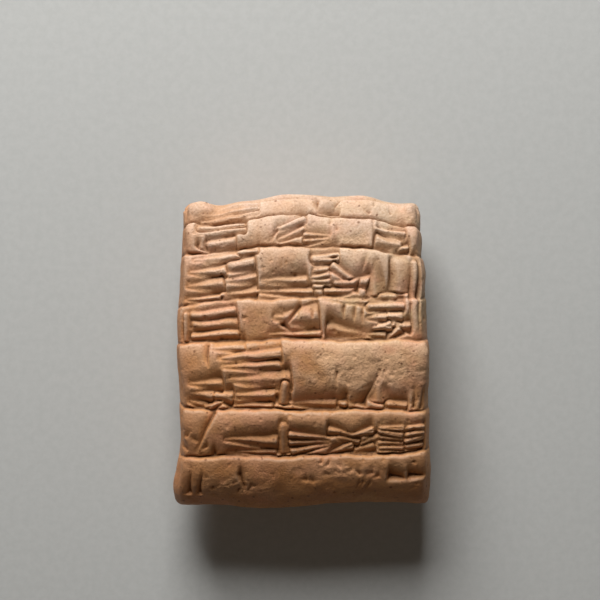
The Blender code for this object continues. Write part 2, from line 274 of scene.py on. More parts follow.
def row_relief():
    """Height of the rolls between two grooves: swell (1 - e^(-down/RISE_SHARP)/2
    - e^(-down/RISE_SLOW)/2) (1 - s^p) (1 - e^(-up/FALL_SHARP)), down and up being the distances
    from the two grooves, s the share of the way down and p the row's bend."""
    relief = np.zeros_like(A)
    uneven = 1 + 0.16 * unevenness(9.0, 3)
    for row, (swell, bend) in enumerate(zip(ROW_SWELL, ROW_BEND)):
        down = np.maximum(groove_height(row, A) - B, 0)
        up = np.maximum(B - groove_height(row + 1, A), 0)
        rise = 1 - 0.5 * np.exp(-down / RISE_SHARP) - 0.5 * np.exp(-down / RISE_SLOW)
        fall = (1 - (down / (down + up + 1e-9)) ** bend) * (1 - np.exp(-up / FALL_SHARP))
        relief += swell * uneven * rise * fall * (down > 0) * (up > 0)
    return relief * rim_fade


def ruling():
    """Depth of the ruled lines: deep e^(-(distance / wide)^2), times a hilly factor of about 3/4,
    and shallower on the rims."""
    depth = np.zeros_like(A)
    uneven = np.clip(0.75 + 0.3 * unevenness(4.0, 4), 0.15, 1.3)
    for groove, (deep, wide) in enumerate(zip(RULE_DEPTHS, RULE_WIDTHS)):
        depth = np.maximum(depth, deep * np.exp(-((B - groove_height(groove, A)) / wide) ** 2))
    return depth * uneven * rim_fade


rows = row_relief()
print(f"rows stand {rows.max():.2f} mm above their grooves")

# %% [markdown]
# ## One stylus print
#
# A cut reed has a square corner. Pressed in and tilted, it leaves a pit with three walls that meet
# in a crisp crease: a long gentle wall, a short steep one and a blunt head. A mesh wedge could be
# cut out, but crossing wedges then need one Boolean each. Here every wall is a plane, and the
# depth at a point is the least of the three planes' depths. Where prints cross, the deeper wins,
# as it does in clay. The gentle wall curls over at its rim, because the clay bulges there.


# %% Pressing a print into the depth map
GENTLE, STEEP, BLUNT = 0.8, 4.5, 3.0     # slopes of the walls, the gentle one's where 1 mm wide
DEEPEST = 1.7                            # the reed goes in no further than this, mm
CURL = 2.4                               # above 1, the gentle wall curls over into the land
LIP, LIP_REACH = 0.25, 0.35              # the steep wall's lip rolls over: share of depth, mm
UPPER_LEFT = np.array([-0.4, 0.92])      # the gentle wall is the one that lies on this side
WANDER_A, WANDER_B = 0.07 * unevenness(2.6, 41), 0.07 * unevenness(2.6, 42)  # of an unsteady hand


def stroke_frame(head, tail, margin, hair=0.0):
    """The window of the map that holds a stroke and its margin, the stroke's length plus a hair,
    and for every point of the window its place t along the stroke and s beside it, which is
    positive on the upper left side."""
    head, tail = np.array(head), np.array(tail)
    length = np.linalg.norm(tail - head) + hair
    along = (tail - head) / length
    side = np.array([-along[1], along[0]])
    if side @ UPPER_LEFT < 0:
        side = -side
    low, high = np.minimum(head, tail) - margin, np.maximum(head, tail) + margin
    window = (slice(*np.searchsorted(map_b, (low[1], high[1]))),
              slice(*np.searchsorted(map_a, (low[0], high[0]))))
    a = A[window] + WANDER_A[window] - head[0]
    b = B[window] + WANDER_B[window] - head[1]
    return window, length, a * along[0] + b * along[1], a * side[0] + b * side[1]


def press(depth, head, tail, reach, flare=1.0, bend=0.0):
    """Press one print whose crease runs from head (a, b) to tail (a, b).

    With t the length along the crease L and s the distance from it, towards the gentle side, the
    crease lies c = D (1 - t/L)^flare deep. D is GENTLE reach^0.7 for a gentle wall reach wide, but
    DEEPEST at most. The planes fall off from the crease by D/reach on the gentle side and by STEEP
    on the other, and the blunt one goes down by BLUNT t from the head. The gentle plane p is curled
    over as c (p/c)^CURL, and the steep one ends in a lip, LIP c deep, that fades with
    e^(s/LIP_REACH). A bend shifts the middle of the crease towards the gentle side.
    """
    window, length, t, s = stroke_frame(head, tail, reach + abs(bend) + 1.0)
    share = np.clip(t / length, 0, 1)
    s = s - bend * 4 * share * (1 - share)
    deepest = min(GENTLE * reach ** 0.7, DEEPEST)
    crease = deepest * (1 - share) ** flare
    gentle = np.maximum(crease - s * deepest / reach, 0)
    gentle = deepest * (gentle / deepest) ** CURL * (crease / deepest + 1e-6) ** (1 - CURL)
    steep = np.maximum(crease + STEEP * s, LIP * crease * np.exp(np.minimum(s, 0) / LIP_REACH))
    pit = np.minimum(np.minimum(gentle, steep), BLUNT * t)
    pit = np.maximum(np.where(t < length, pit, 0), 0)
    depth[window] = np.maximum(depth[window], pit)


trial = np.zeros_like(A)
press(trial, (0.0, 0.0), (-6.0, 0.0), 1.0)
print(f"a print whose gentle wall is 1 mm wide is {trial.max():.2f} mm deep")

# %% [markdown]
# ## Marks made of prints
#
# A scribe works in groups: combs of long strokes, upright wedges, slashes, hatching and thickets
# of short prints. Each group is one small function that lays out its prints from a few numbers:
# where the heads and the tails lie across the row, and how much of the row's height it fills. The
# tablet is then a short table of groups, and no group is a sign of any script. A seeded shake of
# the hand keeps the prints from looking machine made.


# %% Groups of prints
LOWEST_PRINT = -23.6                    # the lowest row is written down to here on the tape, mm
SHAKE = np.array([0.06, 0.06, 0.12, 0.12])  # unsteadiness of a print's head and of its tail, mm
WIDEST_UPRIGHT, WIDEST_SLASH = 1.8, 2.8 # no gentle wall reaches further than this, mm
THICKET_TURNS = (-0.3, -1.0, -1.9, 0.35, -0.65)  # directions of a thicket's prints, radians
THICKET_SIZES = (1.5, 1.1, 1.3)         # their lengths, mm
GOLDEN_ACROSS, GOLDEN_UP = 0.618, 0.382 # steps, as shares, that spread any number of prints evenly
REACH_SPREAD = (0.9, 1.2)               # range of a print's width, as a share of its group's
BEND_SHAKE = 0.08                       # unsteadiness of a crease's bend, mm


def place(row, share, a):
    """The point at a share of a row's height (0 at its lower groove), at a across."""
    lower, upper = groove_height(row + 1, a), groove_height(row, a)
    lower = np.maximum(lower, LOWEST_PRINT)
    return (a, float(lower + share * (upper - lower)))


def shares(low, high, count):
    """Middles of count equal bands between low and high."""
    return [low + (high - low) * (i + 0.5) / count for i in range(count)]


def tall(row, a=0.0):
    """Height of a row in mm."""
    return place(row, 1, a)[1] - place(row, 0, a)[1]


# A group gives its prints as (head, tail, reach, flare, bend), which is what press takes
def comb(row, start, end, low, high, count):
    """Long strokes one above the other, heads at start, that draw together towards their tails."""
    pitch = (high - low) * tall(row) / count
    middle = (low + high) / 2
    return [(place(row, s, start), place(row, middle + 0.9 * (s - middle), end), 0.85 * pitch,
             0.3, 0.0) for s in shares(low, high, count)]


def uprights(row, start, end, low, high, count):
    """Wedges side by side, heads at the top and tails down."""
    pitch = (end - start) / count
    return [(place(row, high, a + 0.25 * pitch), place(row, low, a + 0.15 * pitch),
             min(0.95 * pitch, WIDEST_UPRIGHT), 0.8, 0.1) for a in shares(start, end, count)]


def posts(row, start, end, low, high, count):
    """Upright strokes with their heads at the foot: deep below, running out above."""
    pitch = (end - start) / count
    return [(place(row, low, a + 0.25 * pitch), place(row, high, a + 0.1 * pitch),
             min(0.95 * pitch, WIDEST_UPRIGHT), 0.8, 0.1) for a in shares(start, end, count)]


def slashes(row, start, end, low, high, count):
    """Leaning wedges side by side, heads at the top; end - start sets which way they lean."""
    lean = 0.5 * (end - start)
    pitch = abs(end - start - lean) / count
    return [(place(row, high, a), place(row, low, a + lean), min(pitch, WIDEST_SLASH), 0.8, 0.12)
            for a in shares(start, end - lean, count)]


def thicket(row, start, end, low, high, count):
    """Short prints crowded together, each turned its own way."""
    made = []
    for i in range(count):
        across = start + (end - start) * ((i * GOLDEN_ACROSS) % 1)
        share = low + (high - low) * ((i * GOLDEN_UP + 0.2) % 1)
        turn = THICKET_TURNS[i % len(THICKET_TURNS)]
        size = THICKET_SIZES[i % len(THICKET_SIZES)]
        a, b = place(row, share, across)
        step = 0.5 * size * np.array([math.cos(turn), math.sin(turn)])
        made.append(((a + step[0], b + step[1]), (a - step[0], b - step[1]), 0.45 * size, 0.7, 0.0))
    return made


def hatch(row, start, end, low, high, count):
    """Fine short slanting scratches side by side."""
    pitch = (end - start) / count
    return [(place(row, high, a + 0.4 * pitch), place(row, low, a - 0.4 * pitch), 0.6 * pitch,
             0.5, 0.0) for a in shares(start, end, count)]


# Row (0 is the top one), group, where it starts and ends (mm across), from and to (shares of the
# row's height) and how many. A slash whose shares are swapped has its head at the foot
MARKS = (
    (0, comb, 5.2, -6.8, 0.7, 1.08, 1), (0, comb, 12.2, 5.8, 0.7, 1.08, 1),
    (0, uprights, 0.7, 3.1, 0.0, 0.95, 1), (0, slashes, 6.8, 4.0, 0.08, 0.95, 1),
    (0, comb, 5.8, 2.4, -0.1, 0.36, 1),
    (1, hatch, -4.8, -3.0, 0.05, 0.3, 4), (1, slashes, -2.6, -5.2, 0.02, 0.5, 1),
    (1, uprights, 10.1, 10.8, 0.02, 0.95, 1), (1, thicket, 3.8, 6.0, 0.3, 0.8, 3),
    (2, hatch, -0.8, 1.2, 0.34, 0.5, 3),
    (2, hatch, -3.4, -1.0, 0.44, 0.62, 4), (2, slashes, 6.8, 11.2, 0.9, 0.05, 1),
    (3, slashes, 1.8, -4.8, 0.1, 0.86, 1), (3, slashes, -4.2, 0.4, 0.0, 0.4, 1),
    (4, slashes, 7.0, 12.2, 0.62, 0.03, 1), (4, uprights, 4.3, 4.9, 0.1, 0.6, 1),
    (4, uprights, -14.6, -12.4, 0.56, 0.99, 1),
    (5, slashes, -11.0, -16.6, 0.06, 0.98, 1),
    (5, posts, -13.4, -12.0, 0.02, 0.3, 1), (6, hatch, -9.0, -7.0, 0.36, 0.5, 3),
    (6, hatch, 7.2, 9.2, 0.42, 0.58, 3), (6, comb, 11.4, 14.3, 0.42, 0.82, 1),
    (6, comb, 14.2, 17.0, 0.42, 0.82, 1), (6, slashes, -9.8, -6.6, 0.36, 0.74, 1),
    (3, uprights, -1.4, 1.8, 0.34, 0.8, 2), (3, uprights, 5.2, 9.0, 0.34, 0.86, 3),
    (3, thicket, -1.6, 2.4, 0.1, 0.8, 4), (4, thicket, 6.8, 16.6, 0.02, 0.3, 5),
    (5, thicket, 4.2, 10.6, 0.1, 0.6, 5), (6, thicket, 0.0, 10.4, 0.56, 0.96, 9),
    (0, thicket, 9.6, 15.0, 0.2, 0.7, 3),
    (3, uprights, 14.6, 17.0, 0.1, 0.95, 2), (4, posts, 14.8, 17.0, 0.02, 0.45, 2),
    (5, thicket, -17.0, -13.6, 0.08, 0.5, 5), (6, posts, -16.2, -13.6, 0.34, 0.92, 2),
)

hand = np.random.default_rng(7)
prints = np.zeros_like(A)
print_count = 0
for row, group, *layout in MARKS:
    for head, tail, reach, flare, bend in group(row, *layout):
        shake = hand.normal(0, 1, 4) * SHAKE
        press(prints, head + shake[:2], tail + shake[2:], reach * hand.uniform(*REACH_SPREAD),
              flare, bend + hand.normal(0, BEND_SHAKE))
        print_count += 1
print(f"{len(MARKS)} groups, {print_count} prints, {(prints > 0.05).mean():.0%} of the map pressed")

# %% [markdown]
# ## Crowded places
#
# Where prints crowd together nothing of the blank clay is left between them. What remains is a
# pile of rounded bodies that lie over each other like roof tiles, with a dark crease between each
# two. These places are made the other way round: a field is sunk into the row, and bodies are
# raised in it, the highest one winning at every point. A field is shallow where its bodies are
# narrow, and it rises to the blank clay below and beside it, but ends in a step above.


# %% Fields of raised bodies
FIELD_DEPTH = (1.2, 1.4, 1.4, 1.35, 1.35, 1.25, 1.0)  # of the creases between bodies, by row, mm
OVERHANG, TRAIL = 0.8, 1.2       # a body's upper and lower half widths, as shares of their mean
HEAD_CAP = 0.3                   # how far a body's blunt head reaches beyond its axis, mm
SKIRT = 1.05                     # the blank clay ends this many half widths from a body's axis
FULL_WIDTH = 0.6                 # fields of bodies narrower than this half width are shallower, mm
RUN_OUT = 0.7                    # how fast a field gets shallow where its bodies get narrow
RUN_UP, RUN_UP_REACH = 0.4, 0.25 # how far a field rises at its lower outline, and over what, mm
ROW_LIP = 0.25                   # a field ends this far below its row's upper groove, mm
BODY_SHAKE = 0.12                # unsteadiness of a body's ends, mm
BODY_GROWTH, BODY_HEIGHT = (1.0, 1.3), (0.55, 1.12)  # ranges of size and height, as shares


def raise_body(bodies, sunk, head, tail, head_width, tail_width, round_power, high):
    """Raise one tapered body, as a share of its field's depth, from head (a, b) to tail (a, b).

    At the share of its length nearest to a point the half width is w, running from head_width to
    tail_width. Its height there is high (w / widest)^0.4 (1 - (d / w)^p), p being the round_power,
    which is near 1 for a faceted body and above 2 for a plump one, and d being the distance
    from the axis, taken shorter on the lower side (TRAIL) and longer on the upper (OVERHANG)
    and beyond the head. Round it the field is sunk by the share (w / widest)^RUN_OUT.
    """
    widest = max(head_width, tail_width)
    window, length, t, s = stroke_frame(head, tail, 2 * widest, 1e-6)
    near = np.clip(t / length, 0, 1)
    width = head_width + (tail_width - head_width) * near
    across = s / np.where(s > 0, OVERHANG, TRAIL)
    beyond = np.where(t < 0, t * width / HEAD_CAP, np.maximum(t - length, 0))
    far = np.hypot(beyond, across) / width
    body = high * (width / widest) ** 0.4 * (1 - np.minimum(far, 1) ** round_power)
    bodies[window] = np.maximum(bodies[window], body)
    sunk[window] = np.maximum(sunk[window], (far < SKIRT) * (width / widest) ** RUN_OUT)


# A group gives its bodies as (head, tail, head width, tail width, round power)
def rolls(row, start, end, low, high, count):
    """Long rolls one above the other."""
    half = 0.5 * (high - low) * tall(row) / count
    return [(place(row, s, start), place(row, s, end), half, 0.8 * half, 1.6)
            for s in shares(low, high, count)]


def drops(row, start, end, low, high, count):
    """Long drops with their heads spread at start, whose tips meet at end."""
    half = 0.5 * (high - low) * tall(row) / count
    middle = (low + high) / 2
    return [(place(row, s, start), place(row, middle + 0.45 * (s - middle), end), half,
             0.25 * half, 1.15) for s in shares(low, high, count)]


def pegs(row, start, end, low, high, count):
    """Upright rolls side by side, a little wider at the foot."""
    half = 0.5 * abs(end - start) / count
    return [(place(row, low + 0.06, a), place(row, high - 0.06, a + 0.1), half, 0.75 * half, 1.6)
            for a in shares(start, end, count)]


def tents(row, start, end, low, high, count):
    """Broad bodies side by side that run up to a tip."""
    half = 0.5 * abs(end - start) / count
    return [(place(row, low + 0.12, a), place(row, high - 0.04, a + 0.15 * half), half, 0.2 * half,
             1.4) for a in shares(start, end, count)]


def slats(row, start, end, low, high, count):
    """Rolls that slant down from start to end."""
    half = 0.42 * (high - low) * tall(row) / count
    return [(place(row, s + 0.14, start), place(row, s - 0.14, end), half, 0.5 * half, 1.7)
            for s in shares(low, high, count)]


def shingles(row, start, end, low, high, count):
    """Count layers of short drops lying over each other, most with their tips to the left."""
    size = (high - low) * tall(row) / count
    columns = max(round(abs(end - start) / (2.3 * size)), 1)
    pitch = abs(end - start) / columns
    made = []
    for i, share in enumerate(shares(low, high, count)):
        for across in shares(start, end, columns):
            turn = hand.normal(0, 0.25) + math.pi * (hand.uniform() < 0.2)
            a, b = place(row, share, across + pitch * (0.4 * (i % 2) - 0.2))
            step = 0.55 * pitch * np.array([math.cos(turn), math.sin(turn)])
            made.append(((a + step[0], b + step[1]), (a - step[0], b - step[1]), 0.62 * size,
                         0.15 * size, hand.uniform(1.1, 1.5)))
    return made


# Row, group, where it starts and ends (mm across), from and to (shares of the row) and how many
FIELDS = (
    (0, slats, -6.6, -15.0, 0.1, 0.85, 3),
    (1, rolls, -8.6, -15.2, 0.72, 0.98, 1), (1, drops, -8.2, -15.8, 0.5, 0.74, 1),
    (1, rolls, -9.6, -13.2, 0.04, 0.5, 1),
    (1, tents, -15.6, -13.9, 0.02, 0.5, 1), (1, slats, 0.3, -3.2, 0.2, 0.86, 2),
    (1, drops, 0.4, 4.4, 0.06, 0.5, 2),
    (1, drops, 15.2, 10.9, 0.5, 0.86, 1), (1, rolls, 15.6, 14.4, 0.06, 0.36, 1),
    (1, drops, 10.9, 14.2, 0.02, 0.56, 1),
    (2, drops, -9.2, -15.6, 0.76, 0.98, 1), (2, rolls, -6.5, -8.8, 0.84, 1.0, 1),
    (2, drops, -11.0, -15.8, 0.5, 0.76, 1), (2, rolls, -6.9, -10.4, 0.54, 0.82, 1),
    (2, drops, -6.5, -11.4, 0.28, 0.52, 1), (2, drops, -11.2, -16.2, 0.18, 0.5, 1),
    (2, drops, -11.6, -16.4, 0.0, 0.18, 1),
    (2, drops, -6.3, -11.2, 0.0, 0.28, 1),
    (2, drops, 0.6, -5.6, 0.22, 0.46, 1), (2, drops, 1.4, -6.6, 0.0, 0.22, 1),
    (2, rolls, 5.2, 1.9, 0.66, 0.9, 1), (2, rolls, 4.0, 1.9, 0.14, 0.62, 4),
    (2, slats, 4.6, 7.6, 0.36, 0.62, 1), (2, shingles, 4.4, 8.8, 0.0, 0.42, 2),
    (2, tents, 9.1, 11.9, 0.0, 0.74, 1), (2, pegs, 12.2, 15.2, 0.12, 0.84, 1),
    (2, rolls, 13.2, 11.4, 0.0, 0.16, 1), (2, pegs, 15.5, 16.9, 0.0, 0.8, 1),
    (3, rolls, -9.2, -15.2, 0.02, 0.86, 3), (3, pegs, -16.7, -15.7, 0.0, 0.8, 1),
    (3, drops, 2.4, -3.6, 0.26, 0.84, 1), (3, drops, 2.6, -4.6, 0.0, 0.26, 1),
    (3, drops, 9.0, 2.0, 0.86, 1.04, 1), (3, shingles, 4.6, 9.2, 0.0, 0.36, 1),
    (3, rolls, 14.2, 9.4, 0.72, 0.95, 1), (3, shingles, 9.8, 14.4, 0.0, 0.68, 3),
    (4, drops, -8.3, -13.2, 0.87, 1.0, 1),
    (4, drops, -3.2, -11.4, 0.72, 0.9, 1), (4, drops, -3.2, -11.2, 0.56, 0.74, 1),
    (4, drops, -2.1, -10.4, 0.31, 0.57, 1), (4, drops, -4.0, -10.2, 0.12, 0.32, 1),
    (4, drops, -4.2, -10.6, 0.0, 0.12, 1), (4, pegs, -3.9, -2.1, 0.02, 0.44, 1),
    (4, shingles, -15.8, -10.9, 0.0, 0.28, 2), (4, drops, -11.6, -15.8, 0.28, 0.5, 1),
    (4, drops, 4.4, -1.9, 0.0, 0.2, 1), (4, rolls, 6.2, 5.0, 0.0, 0.13, 1),
    (4, tents, 9.0, 11.8, 0.0, 0.5, 1), (4, rolls, 14.2, 12.1, 0.0, 0.14, 1),
    (5, drops, -4.0, -10.9, 0.16, 0.56, 1),
    (5, drops, -4.2, -10.9, 0.0, 0.16, 1), (5, pegs, -3.9, -2.2, 0.0, 0.7, 1),
    (5, drops, -2.0, 3.3, 0.0, 0.62, 3), (5, shingles, 4.0, 10.0, 0.04, 0.6, 3),
    (5, rolls, 13.8, 10.7, 0.08, 0.7, 5), (5, rolls, 16.9, 14.6, 0.08, 0.7, 4),
)


def run_up(level):
    """Let fields rise to the blank clay below and beside them: their depth is cut by RUN_UP times
    a blurred mask of the places that have blank clay RUN_UP_REACH below, or less so to a side."""
    outside = (level == 0).astype(float)
    step = round(RUN_UP_REACH / RASTER_STEP)
    beside = np.maximum(np.roll(outside, step, axis=1), np.roll(outside, -step, axis=1))
    near = np.maximum(np.roll(outside, step, axis=0), 0.6 * beside)
    return level * (1 - RUN_UP * smooth(near, 0.2))


level = np.zeros_like(A)
body_count = 0
for row, group, *layout in FIELDS:
    bodies, sunk = np.zeros_like(A), np.zeros_like(A)
    widest = 0.0
    for head, tail, head_width, tail_width, round_power in group(row, *layout):
        shake = hand.normal(0, BODY_SHAKE, 4)
        grow = hand.uniform(*BODY_GROWTH)
        raise_body(bodies, sunk, head + shake[:2], tail + shake[2:], head_width * grow,
                   tail_width * grow, round_power, hand.uniform(*BODY_HEIGHT))
        widest = max(widest, head_width)
        body_count += 1
    deep = FIELD_DEPTH[row] * min(widest / FULL_WIDTH, 1)
    in_row = (B > groove_height(row + 1, A)) & (B < groove_height(row, A) - ROW_LIP)
    level = np.where((sunk > 0) & in_row, (bodies - 1) * sunk * deep, level)
level = run_up(level)
print(f"{len(FIELDS)} fields with {body_count} bodies cover {(level < 0).mean():.0%} of the map")

# %% [markdown]
# ## Clay that swells and wears
#
# Clay pushed out of a print has to go somewhere: it swells up round the mouth, so blank clay
# between prints looks puffy. The swelling is the print map itself, blurred wide and added back.
# The reed also drags down the blank clay above a crease, though not where prints are crowded.
# Wear comes last. What stands proud is rubbed down towards its surroundings; a light blur takes
# the sharp lips; hills of several sizes make the surface look handled; crumbly places get a
# coarse grain; and small pits mark where grit fell out.

# %% The whole relief of the written face
SWELL_SHARE, SWELL_REACHES = 0.15, (0.5, 1.5)   # share of a print's depth, and how far round, mm
DRAG_REACH, DRAG_BLUR = 2.6, 0.12   # how far up a crease 1 mm deep drags the clay, and blur, mm
WEAR = ((0.2, 0.2), (0.9, 0.36))    # each rubbing: its reach, and how far clay may stay proud, mm
WEAR_EDGE = 0.05                    # height over which a rubbed crest turns level, mm
SOFTEN = 0.04                       # radius to which lips are rubbed round, mm
# Hills of the whole face and of its crumbly places: height and size in mm, seed
HILLS = ((0.08, 5.0, 21), (0.02, 1.5, 22), (0.006, 0.36, 23))
CRUMBLY_HILLS = ((0.07, 3.2, 26), (0.02, 0.8, 25))
# Pits: how many, radius and depth in mm, seed
PITS = ((400, 0.12, 0.18, 31), (60, 0.2, 0.28, 32))
CRUMBLY_PITS = (1100, 0.18, 0.16, 33)
# Crumbly places: a, b, reach across and reach along, in mm
CRUMBLY_PLACES = ((8.6, -1.2, 9.0, 3.8), (5.0, -16.4, 7.0, 2.0), (7.5, 16.6, 3.2, 1.4),
                  (12.5, 5.0, 2.6, 2.6), (-16.6, -16.0, 1.6, 1.8), (-9.5, -19.0, 5.0, 2.6))


def crumbly():
    """Mask of the crumbly places: bells round a few spots, broken up by hills."""
    mask = np.zeros_like(A)
    for a, b, reach_a, reach_b in CRUMBLY_PLACES:
        mask = np.maximum(mask, np.exp(-((A - a) / reach_a) ** 2 - ((B - b) / reach_b) ** 2))
    return ease(0.25, 0.8, mask + 0.16 * unevenness(2.2, 11))


def hills(sizes):
    """Hills of several sizes on top of each other."""
    return sum(high * unevenness(size, seed) for high, size, seed in sizes)


def pits(count, radius, depth, seed, where=1.0):
    """Small round pits: count random points, each spread to a bell of the given radius."""
    chance = np.random.default_rng(seed)
    dots = np.zeros_like(A)
    i, j = chance.integers(0, A.shape[0], count), chance.integers(0, A.shape[1], count)
    dots[i, j] = chance.uniform(0.35, 1.0, count)
    dots *= where
    return depth * smooth(dots, radius) * 2 * math.pi * (radius / RASTER_STEP) ** 2


def rubbed(height, reach, proud):
    """Wear: the soft minimum of the height and the mean of its surroundings plus proud."""
    limit = smooth(height, reach) + proud
    return -WEAR_EDGE * np.logaddexp(-height / WEAR_EDGE, -limit / WEAR_EDGE)


# Clay squeezed up between prints, and the two ears of the top edge: a, b, reach across, reach
# along and height, all in mm
LUMPS = ((-15.2, 22.6, 2.4, 2.0, 0.7), (16.0, 22.3, 0.8, 1.3, 0.4), (5.6, -6.5, 0.6, 0.6, 0.45),
         (3.5, 22.2, 1.5, 1.4, 0.7), (8.6, 24.9, 3.0, 0.7, 0.5), (-0.7, 25.0, 6.2, 0.7, 0.5),
         (-9.6, 22.6, 2.6, 1.2, 0.25))


def lumps():
    """Round lumps: height (1 - d^2)^1.3 inside d = 1, d being the distance in reaches."""
    raised = np.zeros_like(A)
    for a, b, reach_a, reach_b, high in LUMPS:
        far = ((A - a) / reach_a) ** 2 + ((B - b) / reach_b) ** 2
        raised = np.maximum(raised, high * np.maximum(1 - far, 0) ** 1.3)
    return raised


def dragged(depth):
    """Each crease drags down the clay above it: at distance d above a crease D deep the clay lies
    at least D (1 - d / R)^1.8 deep, R being DRAG_REACH sqrt(D). Its sides are then blurred."""
    reach = DRAG_REACH * np.sqrt(depth) + 1e-6
    deep = depth.copy()
    for i in range(1, int(reach.max() / RASTER_STEP)):
        share = np.maximum(1 - i * RASTER_STEP / reach[:-i], 0)
        deep[i:] = np.maximum(deep[i:], depth[:-i] * share ** 1.8)
    return np.maximum(depth, smooth(deep, DRAG_BLUR))


def hollow(reach, full):
    """How deep a point lies below its surroundings, full mm being 1; crests are negative."""
    return np.clip((smooth(relief, reach) - relief) / full, -1, 1)


crumbly_mask = crumbly()
pressed = np.maximum(prints, -level)
in_field = ease(0.02, 0.1, -level)
pressed = in_field * pressed + (1 - in_field) * dragged(pressed)
pressed = np.maximum(pressed, ruling())
relief = rows - pressed
relief += sum(SWELL_SHARE * smooth(pressed, reach) for reach in SWELL_REACHES)
for reach, proud in WEAR:
    relief = rubbed(relief, reach, proud)
relief = smooth(relief + lumps(), SOFTEN)
relief += hills(HILLS)
relief += crumbly_mask * hills(CRUMBLY_HILLS)
relief -= sum(pits(*each) for each in PITS)
relief -= pits(*CRUMBLY_PITS, crumbly_mask)
recess = hollow(0.8, 0.6)
crease = hollow(0.28, 0.22)
print(f"relief from {relief.min():.2f} to {relief.max():.2f} mm")

# %% [markdown]
# ## Raising the surface
#
# Every mesh point now looks up its height on the map and moves that far along the pillow's own
# outward direction. The direction comes from the grid: the step to the next point across, crossed
# with the step to the next point along. Relief fades out towards the widest level, where the two
# faces meet, and a little solid noise, the same function on both faces, takes over.


# %% Lookup, outward directions and solid noise
HANDLING = ((0.09, 6.0, 51), (0.04, 2.3, 52), (0.02, 1.4, 53))  # height and size in mm, seed
FADE_ACROSS, FADE_ALONG = (5.0, 1.5), (2.6, 0.6)  # relief fades out this far from the tapes' ends


def look_up(height, a, b):
    """The map's value at every pair of b and a, blended between the four nearest raster points."""
    fi, fj = (b - map_b[0]) / RASTER_STEP, (a - map_a[0]) / RASTER_STEP
    i, j = fi.astype(int), fj.astype(int)
    si, sj = (fi - i)[:, None], (fj - j)[None, :]
    rows_near = height[i] * (1 - si) + height[i + 1] * si
    return rows_near[:, j] * (1 - sj) + rows_near[:, j + 1] * sj


def outward(points):
    """Unit normals of a grid of points: (step across) x (step along)."""
    normal = np.cross(np.gradient(points, axis=1), np.gradient(points, axis=0))
    return normal / np.maximum(np.linalg.norm(normal, axis=-1, keepdims=True), 1e-12)


def solid_noise(points, size, seed):
    """Smooth noise in space: random values at the corners of cubes size mm wide, blended with
    3t^2 - 2t^3 along each axis."""
    table = np.random.default_rng(seed).uniform(-1, 1, (32, 32, 32))
    place_in = points / size + 100.0
    cell = np.floor(place_in).astype(int)
    t = place_in - cell
    t = t * t * (3 - 2 * t)
    value = np.zeros(points.shape[:-1])
    for corner in np.ndindex(2, 2, 2):
        weight = np.prod(np.where(corner, t, 1 - t), axis=-1)
        x, y, z = np.moveaxis((cell + corner) % 32, -1, 0)
        value += weight * table[x, y, z]
    return value


def handled(points):
    """Unevenness of the whole lump: noise of three sizes."""
    return sum(high * solid_noise(points, size, seed) for high, size, seed in HANDLING)


def fade_out(a, b):
    """1 over the face, 0 near the widest level, as the product of two eased edges."""
    across = 1 - ease(a[-1] - FADE_ACROSS[0], a[-1] - FADE_ACROSS[1], np.abs(a))[None, :]
    along = 1 - ease(b[-1] - FADE_ALONG[0], b[-1] - FADE_ALONG[1], np.abs(b))[:, None]
    return across * along


grid_u, grid_v = np.meshgrid(face_u, face_v)
pillow = written_face(grid_u, grid_v)
fade = fade_out(face_a, face_b)
height = fade * look_up(relief, face_a, face_b) + handled(pillow)
face_points = pillow + outward(pillow) * height[..., None]
face_recess = fade * look_up(recess, face_a, face_b)
face_crease = fade * look_up(crease, face_a, face_b)
face_crumbly = fade * look_up(crumbly_mask, face_a, face_b)
print(f"face grid {face_points.shape[1]} x {face_points.shape[0]}")

# %% [markdown]
# ## The reverse
#
# Nobody sees the reverse while the tablet lies on it, and its real surface is unknown. It is
# finished in keeping and plainer: three worn lines near the top edge, with nothing written
# between them, and the rest blank, handled clay. Its grid has a quarter as many lines each way.

# %% The reverse, at a quarter of the density
BACK_STEP = 4                   # steps of the face for each step of the reverse
BACK_COARSER = 1.3              # spacing at its rim, in spacings of its middle
BACK_SHRINK = 0.9996            # keeps the two rims a hair apart, so the seam has a width
BACK_GROOVES = (19.5, 14.2, 8.4)
BACK_DEPTH, BACK_WIDTH = 0.3, 0.3   # depth and half width of a groove, mm
BACK_SWELL, BACK_REACH = 0.16, 1.6  # height and reach of the swelling round it, mm
back_u, back_a = tape_lines(lambda t: reverse_face(t, middle_line), CELLS_ACROSS // BACK_STEP,
                            EVEN_ACROSS, BACK_COARSER)
back_v, back_b = tape_lines(lambda t: reverse_face(middle_line, t), CELLS_ALONG // BACK_STEP,
                            EVEN_ALONG, BACK_COARSER)


def reverse_relief(a, b):
    """Shallow grooves near one end: at the distance d from each, its swelling
    BACK_SWELL e^(-(d/BACK_REACH)^2) less its depth BACK_DEPTH e^(-(d/BACK_WIDTH)^2)."""
    a, b = np.meshgrid(a, b)
    relief = np.zeros_like(a)
    for groove in BACK_GROOVES:
        d = b - groove - 0.12 * np.sin(0.35 * a + groove) + 0.002 * a * a
        relief += BACK_SWELL * np.exp(-(d / BACK_REACH) ** 2)
        relief -= BACK_DEPTH * np.exp(-(d / BACK_WIDTH) ** 2)
    return relief


grid_u, grid_v = np.meshgrid(back_u * BACK_SHRINK, back_v * BACK_SHRINK)
pillow = reverse_face(grid_u, grid_v)
fade = fade_out(back_a, back_b)
height = fade * reverse_relief(back_a, back_b) + handled(pillow)
back_points = pillow - outward(pillow) * height[..., None]
print(f"reverse grid {back_points.shape[1]} x {back_points.shape[0]}")

# %% [markdown]
# ## Sewing face and reverse together
#
# Two grids with open rims make a closed skin once their rims are sewn. The face's rim has exactly
# four steps for each step of the reverse's, so every reverse step takes a fan of five triangles. At
# the end the whole skin is fitted to the frame's box, and pressed flat where it rests.


